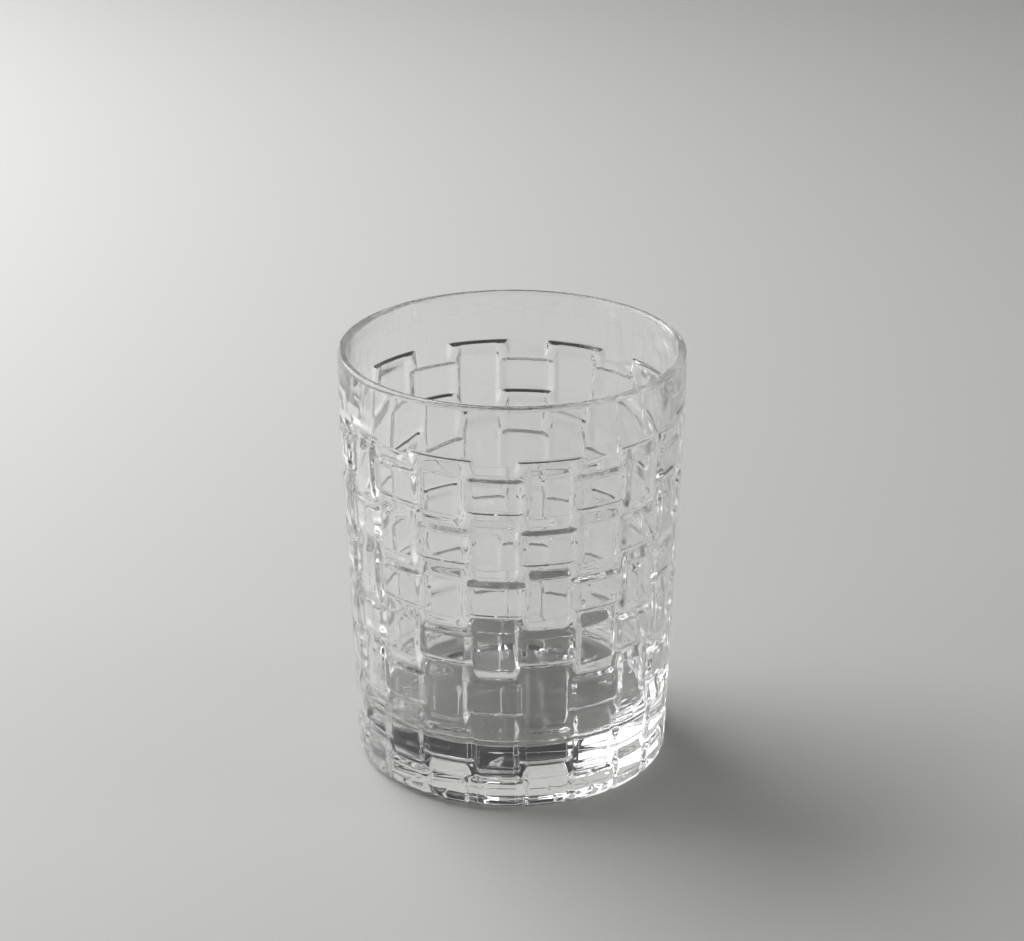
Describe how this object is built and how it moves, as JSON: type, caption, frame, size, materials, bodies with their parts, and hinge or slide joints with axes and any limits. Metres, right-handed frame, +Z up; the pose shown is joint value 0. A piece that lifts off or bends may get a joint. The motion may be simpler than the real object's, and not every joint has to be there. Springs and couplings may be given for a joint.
{
  "type": "whiskey tumbler",
  "caption": "Straight-sided old-fashioned glass with a thick base, a plain rounded rim and a basket-weave relief pressed into the wall.",
  "frame": {"origin": "centre of the plane that the foot rests on", "axes": "+Z up along the tumbler's axis; one column of the weave faces -Y"},
  "size_m": [0.0778, 0.0778, 0.098],
  "materials": {
    "clear_glass": "polished"
  },
  "bodies": {
    "root": {"glass_tumbler": "clear_glass"}
  },
  "joints": []
}
